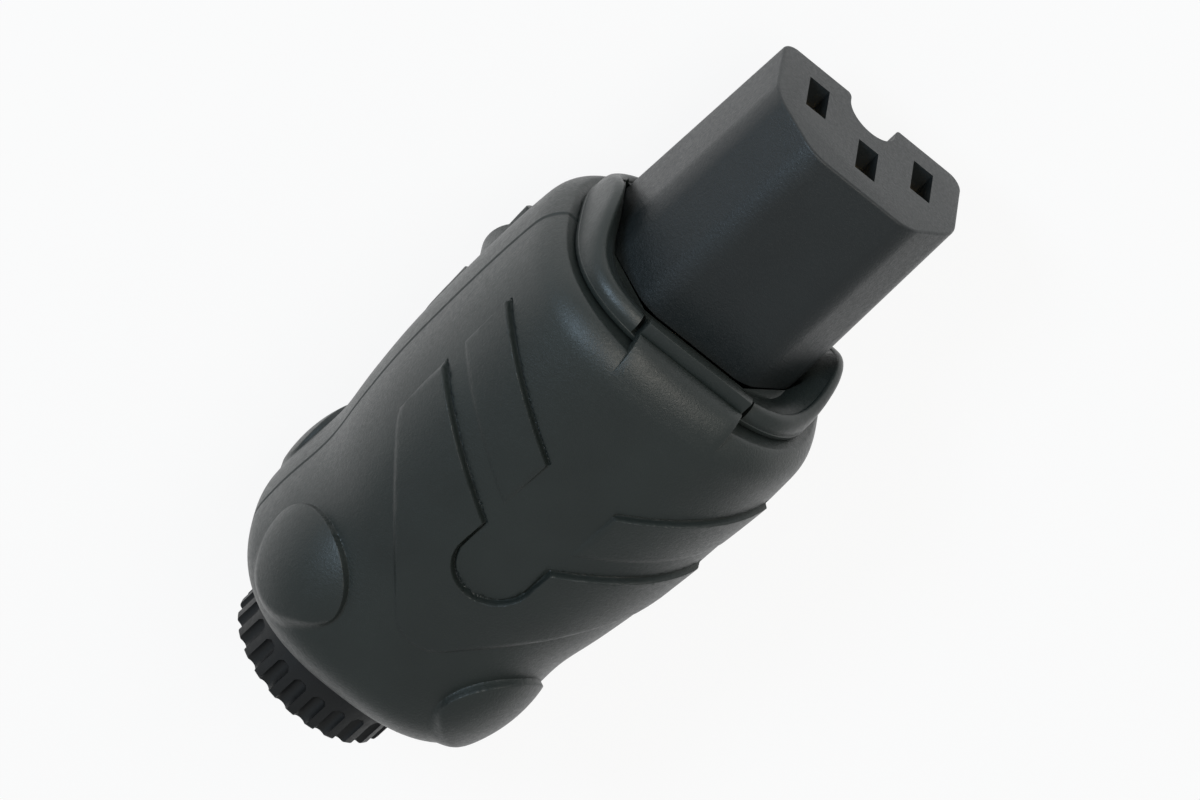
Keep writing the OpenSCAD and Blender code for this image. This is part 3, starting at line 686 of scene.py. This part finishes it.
class CONNECTOR_OT_collar(bpy.types.Operator):
    """Build the scooped front collar with its rounded rim and latch tongues"""

    bl_idname = "connector.collar"
    bl_label = "Front Collar"

    POWER = 2.9
    SCOOP = 3.4 * MM
    STEP = 1.1 * MM
    RIM_X = -23 * MM
    BACK = -26.6 * MM
    FLOOR = -25.4 * MM
    # The rim's section: its crest stands in from the outer side, over a steep inner wall
    CREST_IN = 1 * MM
    CREST_RUN = 1.9 * MM
    INNER_ROUND = 0.45 * MM
    WALL_IN = 4.0 * MM

    def execute(self, context):
        finish = context.scene.connector_finish
        self.half_width = (COLLAR_HIGH.y - COLLAR_LOW.y) / 2
        self.half_height = (COLLAR_HIGH.z - COLLAR_LOW.z) / 2
        piece = loft("collar", self.profile(), self.POWER, 44)
        weigh(piece, "sweep", self.sweep)
        apply_modifier(piece, "DISPLACE", direction="X", mid_level=0, strength=self.SCOOP, vertex_group="sweep")
        self.add_tongues(piece)
        combine(piece, self.nose_hole(), "DIFFERENCE")
        smooth(piece)
        plastic = moulded_plastic("collar plastic", finish.shell_colour, 0.38, finish.grain, 0.035 * MM)
        finish_piece(piece, "connector_body", "shell_plastic", plastic, "front_collar")
        return {"FINISHED"}

    def profile(self):
        """The rings of the collar: flange, neck, outer side, crest, inner wall and floor."""
        def ring(x, inset):
            return (x, self.half_width - inset, self.half_height - inset)

        back, crest = self.BACK, self.RIM_X - self.STEP
        rings = [
            ring(COLLAR_LOW.x, 1 * MM), ring(-28.95 * MM, 1 * MM), ring(-28.95 * MM, 2.3 * MM),
            ring(back, 2.3 * MM), ring(back, 0.3 * MM), ring(back + 0.06 * MM, 0.1 * MM),
            ring(back + 0.2 * MM, 0.02 * MM), ring(back + 0.55 * MM, 0), ring(back + 0.62 * MM, 0.07 * MM),
        ]
        for i in range(13):
            angle = math.pi / 2 * i / 12
            rings.append(ring(
                crest - self.CREST_RUN * (1 - math.sin(angle)),
                max(self.CREST_IN * (1 - math.cos(angle)), 0.07 * MM)))
        for i in range(1, 7):
            angle = math.pi / 2 * i / 6
            rings.append(ring(
                crest - self.INNER_ROUND * (1 - math.cos(angle)),
                self.CREST_IN + self.INNER_ROUND * math.sin(angle)))
        bottom, top = self.FLOOR, crest - self.INNER_ROUND
        inner = self.CREST_IN + self.INNER_ROUND
        for i in range(1, 6):
            share = i / 5
            rings.append(ring(top + (bottom - top) * share, inner + (self.WALL_IN - inner) * share**0.7))
        return rings

    def sweep(self, point):
        """Share of the forward sweep: full at the crest of the sides, none at the tongues."""
        power = self.POWER
        size = (abs(point.y / self.half_width) ** power + abs(point.z / self.half_height) ** power) ** (1 / power)
        inset = (1 - size) * (self.half_width + self.half_height) / 2
        side = ((1 + math.cos(math.pi * point.z / self.half_height)) / 2) ** 2
        foot = self.BACK + 0.62 * MM
        outer = smoothstep((point.x - foot) / (self.RIM_X - self.STEP - 0.5 * MM - foot))
        inner = (self.WALL_IN - inset) / (self.WALL_IN - self.CREST_IN - self.INNER_ROUND)
        return side * outer if inset < self.CREST_IN + 0.1 * MM else side * min(max(inner, 0), 1)

    def add_tongues(self, piece):
        """Squares off the middle of the rim into a thin latch tongue over a recess, above and below."""
        half, slit = 7.1 * MM, 0.3 * MM
        wall = 1.1 * MM
        for side in (-1, 1):
            low, high = sorted((side * self.half_height, side * (self.half_height - wall)))
            tongue = block("tongue", (self.BACK + 0.3 * MM, -half + slit, low), (self.RIM_X - 0.5 * MM, half - slit, high))
            apply_modifier(tongue, "BEVEL", width=0.1 * MM, segments=2, limit_method="ANGLE")
            for edge in (-1, 1):
                low, high = sorted((side * (self.half_height - 3 * MM), side * (self.half_height + 2 * MM)))
                slot = block(
                    "slit", (self.BACK + 0.6 * MM, edge * half - slit, low), (0, edge * half + slit, high))
                combine(piece, slot, "DIFFERENCE")
            low, high = sorted((side * (self.half_height - 4.5 * MM), side * (self.half_height - wall / 2)))
            recess = block("recess", (self.FLOOR, slit - half, low), (0, half - slit, high))
            combine(piece, recess, "DIFFERENCE")
            combine(piece, tongue, "UNION")

    def nose_hole(self):
        """The hole that the nose passes through, with its clearance."""
        half_width, half_height = 12.564 * MM, 8.564 * MM
        chamfer = 5.9 * MM
        outline = [
            (0, half_width, -half_height), (0, half_width, half_height - chamfer),
            (0, half_width - chamfer, half_height), (0, chamfer - half_width, half_height),
            (0, -half_width, half_height - chamfer), (0, -half_width, -half_height),
        ]
        return outline_prism("hole", outline, (5 * MM, 0, 0), (-50 * MM, 0, 0))


class CONNECTOR_OT_shells(bpy.types.Operator):
    """Build the two halves of the body with their raised panels and knuckles"""

    bl_idname = "connector.shells"
    bl_label = "Body Shells"

    def execute(self, context):
        shape = context.scene.connector_shape
        finish = context.scene.connector_finish
        upper = self.half(shape, "body_top")
        lower = self.mirrored(upper, "body_bottom")
        self.sink_screws(lower)
        self.open_rear(upper)
        self.open_rear(lower)
        for piece, node in ((upper, "upper_shell"), (lower, "lower_shell")):
            smooth(piece)
            plastic = moulded_plastic(
                piece.name + " plastic", finish.shell_colour, 0.40, finish.grain, 0.05 * MM)
            finish_piece(piece, "connector_body", "shell_plastic", plastic, node)
        return {"FINISHED"}

    def half(self, shape, name):
        """One shell: a skin with raised panels and knuckles, hollowed and with the front lip."""
        front = body_ring(shape, BODY_FRONT)
        rings = [(BODY_FRONT, front[1] - gap, front[2] - gap) for gap in (4 * MM, 1 * MM, 0.25 * MM)]
        rings += [body_ring(shape, x) for x in body_places(BODY_FRONT, BODY_BACK, 44)]
        back = rings[-1]
        rings += [(BODY_BACK, back[1] - gap, back[2] - gap) for gap in (0.3 * MM, 1.5 * MM, 3 * MM)]
        piece = loft(name, rings, shape.squareness, 22)
        bpy.ops.object.mode_set(mode="EDIT")
        bpy.ops.mesh.bisect(plane_co=(0, 0, SEAM), plane_no=(0, 0, 1), clear_inner=True)
        bpy.ops.object.mode_set(mode="OBJECT")
        apply_modifier(piece, "SUBSURF", levels=2, render_levels=2, boundary_smooth="ALL")
        bpy.ops.object.mode_set(mode="EDIT")
        select_faces(piece, lambda centre, normal: near_edge(centre))
        bpy.ops.mesh.subdivide(number_cuts=3)
        bpy.ops.object.mode_set(mode="OBJECT")
        seam_drop = 0.14 * MM
        weigh(piece, "panels", panel_weight)
        weigh(piece, "grooves", groove_weight)
        weigh(piece, "knuckles", lambda point: knuckle_rise(shape, point) / (3 * MM))
        weigh(piece, "seam", lambda point: 1 - smoothstep((point.z - SEAM) / SEAM_ROUND))
        apply_modifier(piece, "DISPLACE", mid_level=0, strength=shape.panel_height, vertex_group="panels")
        apply_modifier(piece, "DISPLACE", mid_level=0, strength=3 * MM, vertex_group="knuckles")
        apply_modifier(piece, "DISPLACE", mid_level=0, strength=-seam_drop, vertex_group="seam")
        apply_modifier(piece, "DISPLACE", mid_level=0, strength=-GROOVE_DEPTH, vertex_group="grooves")
        self.close_seam(piece)
        combine(piece, self.hollow(shape), "DIFFERENCE")
        combine(piece, self.lip(shape), "UNION")
        return piece

    def close_seam(self, piece):
        """Fills the skin's open side at the joint line."""
        make_active(piece)
        bpy.ops.object.mode_set(mode="EDIT")
        bpy.ops.mesh.select_mode(type="EDGE")
        bpy.ops.mesh.select_all(action="DESELECT")
        bpy.ops.mesh.select_non_manifold()
        bpy.ops.mesh.edge_face_add()
        bpy.ops.mesh.select_all(action="SELECT")
        bpy.ops.mesh.normals_make_consistent(inside=False)
        bpy.ops.object.mode_set(mode="OBJECT")

    def hollow(self, shape):
        """The space inside the shells, with the front opening for the collar's neck."""
        front, back = BODY_FRONT - shape.wall, -78 * MM
        rings = [body_ring(shape, x, -shape.wall) for x in body_places(front, back, 14)]
        piece = loft("hollow", rings, shape.squareness, 8)
        neck = [(BODY_FRONT + 1 * MM, 13.75 * MM, 11.45 * MM), (front - 0.5 * MM, 13.75 * MM, 11.45 * MM)]
        return combine(piece, loft("neck", neck, 4.5, 8), "UNION")

    def lip(self, shape):
        """The lip that hangs over the root of the collar's latch tongue."""
        half = 6.8 * MM
        under = 13.65 * MM
        top = shape.body_thickness / 2
        x = BODY_FRONT
        outline = [
            (x + 1.7 * MM, 0, under), (x + 1.8 * MM, 0, under + 0.12 * MM), (x + 1.75 * MM, 0, under + 0.6 * MM),
            (x + 1.45 * MM, 0, under + 1.3 * MM), (x + 0.95 * MM, 0, under + 2.0 * MM),
            (x + 0.3 * MM, 0, under + 2.6 * MM), (x - 0.6 * MM, 0, under + 3.1 * MM),
            (x - 1.6 * MM, 0, top - 0.4 * MM), (x - 2.8 * MM, 0, top - 0.18 * MM),
            (x - 4.0 * MM, 0, top - 0.3 * MM), (x - 4.4 * MM, 0, top - 1.9 * MM),
            (x - 0.3 * MM, 0, under - 1 * MM), (x - 0.3 * MM, 0, under),
        ]
        piece = outline_prism("lip", outline, (0, -half, 0), (0, 2 * half, 0), 12)
        ring = body_ring(shape, x - 2 * MM)

        def fall(point):
            across = 1 - (abs(point.y) / ring[1]) ** shape.squareness
            drop = ring[2] * (1 - across ** (1 / shape.squareness)) / MM
            return drop * min(max((point.z - under) / (2.6 * MM), 0), 1)

        weigh(piece, "fall", fall)
        apply_modifier(piece, "DISPLACE", direction="Z", mid_level=0, strength=-1 * MM, vertex_group="fall")
        return apply_modifier(piece, "BEVEL", width=0.12 * MM, segments=2, limit_method="ANGLE")

    def mirrored(self, piece, name):
        """The other half, mirrored across the parting plane."""
        make_active(piece)
        bpy.ops.object.duplicate()
        copy = named(bpy.context.object, name)
        bpy.ops.transform.mirror(constraint_axis=(False, False, True))
        bpy.ops.object.transform_apply(location=True, rotation=True, scale=True)
        bpy.ops.object.mode_set(mode="EDIT")
        bpy.ops.mesh.select_all(action="SELECT")
        bpy.ops.mesh.normals_make_consistent(inside=False)
        bpy.ops.object.mode_set(mode="OBJECT")
        return copy

    def sink_screws(self, piece):
        """Bosses and counterbores for the four screws of the lower shell."""
        seat = -7.5 * MM
        for place in ((-40.5, 13.7), (-40.5, -13.7), (-60.4, 11.6), (-60.4, -11.6)):
            place = (place[0] * MM, place[1] * MM)
            boss = cylinder_z("boss", place, -11.5 * MM, -SEAM, 3.85 * MM)
            combine(piece, boss, "UNION")
            combine(piece, cylinder_z("counterbore", place, seat, -22 * MM, 2.95 * MM), "DIFFERENCE")
            combine(piece, cylinder_z("hole", place, 1 * MM, seat - 1 * MM, 1.6 * MM), "DIFFERENCE")

    def open_rear(self, piece):
        """Opens the rear wall for the gland nut."""
        bore = cylinder_x("bore", BODY_BACK - 1 * MM, -71 * MM, 10.7 * MM, 160)
        combine(piece, bore, "DIFFERENCE")


class CONNECTOR_OT_gland_nut(bpy.types.Operator):
    """Build the fluted gland nut"""

    bl_idname = "connector.gland_nut"
    bl_label = "Gland Nut"

    def execute(self, context):
        finish = context.scene.connector_finish
        radius = NUT_HIGH.z
        piece = cylinder_x("nut", NUT_LOW.x, NUT_HIGH.x, radius, 192)
        apply_modifier(piece, "BEVEL", width=0.35 * MM, segments=4, limit_method="ANGLE")
        combine(piece, self.flutes(radius), "DIFFERENCE")
        wall = 3.2 * MM
        combine(piece, cylinder_x("bore", NUT_LOW.x + wall, NUT_HIGH.x + 1 * MM, 8.46 * MM, 128), "DIFFERENCE")
        combine(piece, self.mouth(), "DIFFERENCE")
        smooth(piece)
        plastic = moulded_plastic("nut plastic", finish.nut_colour, 0.52, finish.grain, 0.02 * MM)
        finish_piece(piece, "gland_nut", "ring_plastic", plastic, "gland_nut")
        return {"FINISHED"}

    def flutes(self, radius):
        """All the grip flutes as one cutter, each with a rounded inner end."""
        count, flute, length = 24, 0.85 * MM, 3.9 * MM
        deselect_all()
        cutters = []
        for i in range(count):
            angle = 2 * math.pi * i / count
            bpy.ops.mesh.primitive_cylinder_add(
                vertices=24, radius=flute, depth=length, end_fill_type="NGON",
                location=(NUT_LOW.x + length / 2 - 0.5 * MM, 0, radius + 0.1 * MM),
                rotation=(0, math.pi / 2, 0))
            cutter = bpy.context.object
            bpy.ops.object.transform_apply(location=True, rotation=True, scale=True)
            bpy.ops.object.mode_set(mode="EDIT")
            select_faces(cutter, lambda centre, normal: normal.x > 0.9)
            bpy.ops.mesh.extrude_region_move(TRANSFORM_OT_translate={"value": (flute * 0.6, 0, 0)})
            end = NUT_LOW.x + length - 0.5 * MM + flute * 0.6
            bpy.ops.transform.resize(value=(1, 0.55, 0.55), center_override=(end, 0, radius + 0.3 * MM))
            bpy.ops.object.mode_set(mode="OBJECT")
            cutter.data.transform(Matrix.Rotation(angle, 4, "X"))
            cutters.append(cutter)
        deselect_all()
        for cutter in cutters:
            cutter.select_set(True)
        bpy.context.view_layer.objects.active = cutters[0]
        bpy.ops.object.join()
        return named(cutters[0], "flutes")

    def mouth(self):
        """The hole for the cord, flared at its mouth."""
        radius, flare = 6 * MM, 0.5 * MM
        piece = cylinder_x("mouth", NUT_LOW.x + flare, NUT_HIGH.x, radius, 128)
        bpy.ops.object.mode_set(mode="EDIT")
        select_faces(piece, lambda centre, normal: normal.x < -0.9)
        extrude_to(-flare, (1 + flare / radius,) * 2, NUT_LOW.x)
        extrude_to(-flare, (1, 1), NUT_LOW.x)
        bpy.ops.object.mode_set(mode="OBJECT")
        return piece


class CONNECTOR_OT_inner_parts(bpy.types.Operator):
    """Give the contacts, terminals, screws and gland parts their finishes"""

    bl_idname = "connector.inner_parts"
    bl_label = "Inner Parts"

    def execute(self, context):
        finish = context.scene.connector_finish
        finishes = {
            stamped_metal("contact brass", finish.brass_colour, 0.28): (
                "line_contact", "neutral_contact", "earth_contact", "screw_inserts"),
            stamped_metal("terminal brass", tint(finish.brass_colour, 0.92), 0.36): (
                "line_terminal", "neutral_terminal", "earth_terminal"),
            stamped_metal("plated steel", finish.steel_colour, 0.3): (
                "terminal_screws", "wire_plates", "retainer_screws", "shell_screws"),
            moulded_plastic("carrier plastic", (0.035, 0.035, 0.035), 0.45, finish.grain, 0.02 * MM): (
                "contact_retainer",),
            moulded_plastic("sleeve plastic", finish.nut_colour, 0.4, finish.grain, 0.01 * MM): (
                "gland_sleeve",),
            moulded_plastic("natural nylon", (0.55, 0.53, 0.47), 0.38, finish.grain, 0.008 * MM): (
                "clamp_collet", "slip_ring"),
            soft_rubber("seal rubber", (0.012, 0.012, 0.012)): ("cord_seal",),
        }
        for material, nodes in finishes.items():
            for node in nodes:
                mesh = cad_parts[node].data
                mesh.materials.clear()
                mesh.materials.append(material)
        return {"FINISHED"}


class CONNECTOR_OT_studio(bpy.types.Operator):
    """Set up the floor, the lamps and the camera"""

    bl_idname = "connector.studio"
    bl_label = "Studio"

    def execute(self, context):
        studio = context.scene.connector_studio
        self.add_floor()
        self.add_world(context.scene)
        self.add_lamps(studio)
        self.add_camera(context.scene, studio)
        context.scene.view_settings.view_transform = "Standard"
        return {"FINISHED"}

    def white_to_eye(self, tree, lit):
        """Mixes a lit surface with plain white where a camera, glossy or glass ray meets it."""
        rays = tree.nodes.new("ShaderNodeLightPath")
        either = tree.nodes.new("ShaderNodeMath")
        either.operation = "MAXIMUM"
        tree.links.new(rays.outputs["Is Camera Ray"], either.inputs[0])
        tree.links.new(rays.outputs["Is Glossy Ray"], either.inputs[1])
        any_ray = tree.nodes.new("ShaderNodeMath")
        any_ray.operation = "MAXIMUM"
        tree.links.new(either.outputs[0], any_ray.inputs[0])
        tree.links.new(rays.outputs["Is Transmission Ray"], any_ray.inputs[1])
        part = tree.nodes.new("ShaderNodeMath")
        part.operation = "MULTIPLY"
        part.inputs[1].default_value = 0.9
        tree.links.new(any_ray.outputs[0], part.inputs[0])
        white = tree.nodes.new("ShaderNodeEmission")
        white.inputs["Color"].default_value = (1, 1, 1, 1)
        white.inputs["Strength"].default_value = 1
        mix = tree.nodes.new("ShaderNodeMixShader")
        tree.links.new(part.outputs[0], mix.inputs["Fac"])
        tree.links.new(lit, mix.inputs[1])
        tree.links.new(white.outputs[0], mix.inputs[2])
        return mix.outputs[0]

    def add_floor(self):
        """A wide pale floor just under the lowest piece."""
        deselect_all()
        bpy.ops.mesh.primitive_plane_add(size=6, location=(0, 0, CAD_BOX[0][2] - 0.2 * MM))
        floor = named(bpy.context.object, "floor")
        bpy.ops.object.transform_apply(location=True, rotation=True, scale=True)
        material, tree, shader, place = new_material("pale floor")
        pale = noise(tree, place, 0.4, detail=1)
        tree.links.new(
            shade_between(tree, ramp(tree, pale, 0, 1), (0.93, 0.93, 0.93), (0.95, 0.95, 0.95)),
            shader.inputs["Base Color"])
        shader.inputs["Roughness"].default_value = 0.9
        shader.inputs["Specular IOR Level"].default_value = 0.1
        output = tree.nodes["Material Output"]
        tree.links.new(self.white_to_eye(tree, shader.outputs[0]), output.inputs["Surface"])
        floor.data.materials.append(material)

    def add_world(self, scene):
        """A surround that is white at the horizon and dim overhead."""
        world = bpy.data.worlds.new("studio surround")
        world.use_nodes = True
        tree = world.node_tree
        background = tree.nodes["Background"]
        direction = tree.nodes.new("ShaderNodeTexCoord")
        split = tree.nodes.new("ShaderNodeSeparateXYZ")
        height = tree.nodes.new("ShaderNodeMapRange")
        height.inputs["From Min"].default_value = -0.04
        height.inputs["From Max"].default_value = 0.08
        height.inputs["To Min"].default_value = 1
        height.inputs["To Max"].default_value = 0.3
        tree.links.new(direction.outputs["Generated"], split.inputs[0])
        tree.links.new(split.outputs["Z"], height.inputs["Value"])
        tree.links.new(height.outputs[0], background.inputs["Strength"])
        background.inputs["Color"].default_value = (0.97, 0.99, 1, 1)
        scene.world = world

    def add_lamps(self, studio):
        """A warm soft box in front and above, and a cool one to the left of the nose."""
        boxes = (
            # name, place, width and height, power, colour
            ("warm box", (0.50, 0.0, 0.68), (0.45, 0.45), 2.4, (1, 0.95, 0.86)),
            ("cool box", (0.18, 0.62, 0.62), (0.22, 0.22), 2.4, (0.6, 0.8, 1)),
        )
        target = Vector((-0.045, 0, 0))
        for name, place, size, power, colour in boxes:
            lamp = bpy.data.lights.new(name, "AREA")
            lamp.shape = "RECTANGLE"
            lamp.size, lamp.size_y = size
            lamp.energy = power * studio.lamp_power
            lamp.color = colour
            holder = bpy.data.objects.new(name, lamp)
            bpy.context.scene.collection.objects.link(holder)
            holder.location = place
            holder.rotation_euler = (target - Vector(place)).to_track_quat("-Z", "Y").to_euler()

    def add_camera(self, scene, studio):
        """The camera looks down on the part from in front of the nose."""
        right = Vector((0.6488, -0.7533, -0.1078)).normalized()
        forward = Vector((-0.4683, -0.2837, -0.8368))
        forward = (forward - forward.dot(right) * right).normalized()
        up = right.cross(forward)
        place = Vector((0.3425, 0.2325, 0.6861)) * (studio.distance / 0.801)
        lens = bpy.data.cameras.new("view")
        lens.sensor_width = 36
        lens.lens = studio.lens
        lens.clip_start = 0.05
        camera = bpy.data.objects.new("view", lens)
        scene.collection.objects.link(camera)
        turn = Matrix((right, up, -forward)).transposed().to_4x4()
        camera.matrix_world = Matrix.Translation(place) @ turn
        scene.camera = camera


class CONNECTOR_PT_panel(bpy.types.Panel):
    """Lists the connector's pieces and their sizes"""

    bl_label = "Power Connector"
    bl_space_type = "VIEW_3D"
    bl_region_type = "UI"
    bl_category = "Connector"

    def draw(self, context):
        layout = self.layout
        for group in ("connector_shape", "connector_finish", "connector_studio"):
            box = layout.box()
            settings = getattr(context.scene, group)
            for key in settings.bl_rna.properties.keys():
                if key not in ("rna_type", "name"):
                    box.prop(settings, key)
        for operator in OPERATORS:
            layout.operator(operator.bl_idname)


GROUPS = {
    "connector_shape": ConnectorShape,
    "connector_finish": ConnectorFinish,
    "connector_studio": ConnectorStudio,
}
OPERATORS = (
    CONNECTOR_OT_nose,
    CONNECTOR_OT_collar,
    CONNECTOR_OT_shells,
    CONNECTOR_OT_gland_nut,
    CONNECTOR_OT_inner_parts,
    CONNECTOR_OT_studio,
)


def register():
    """Registers the classes and hangs the settings on the scene."""
    for cls in (*GROUPS.values(), *OPERATORS, CONNECTOR_PT_panel):
        bpy.utils.register_class(cls)
    for name, cls in GROUPS.items():
        setattr(bpy.types.Scene, name, bpy.props.PointerProperty(type=cls))


def unregister():
    """Undoes register."""
    for name in GROUPS:
        delattr(bpy.types.Scene, name)
    for cls in (CONNECTOR_PT_panel, *reversed(OPERATORS), *reversed(list(GROUPS.values()))):
        bpy.utils.unregister_class(cls)


def main():
    """Builds every piece and the studio."""
    register()
    bpy.ops.connector.nose()
    bpy.ops.connector.collar()
    bpy.ops.connector.shells()
    bpy.ops.connector.gland_nut()
    bpy.ops.connector.inner_parts()
    bpy.ops.connector.studio()
    deselect_all()


if __name__ == "__main__":
    main()
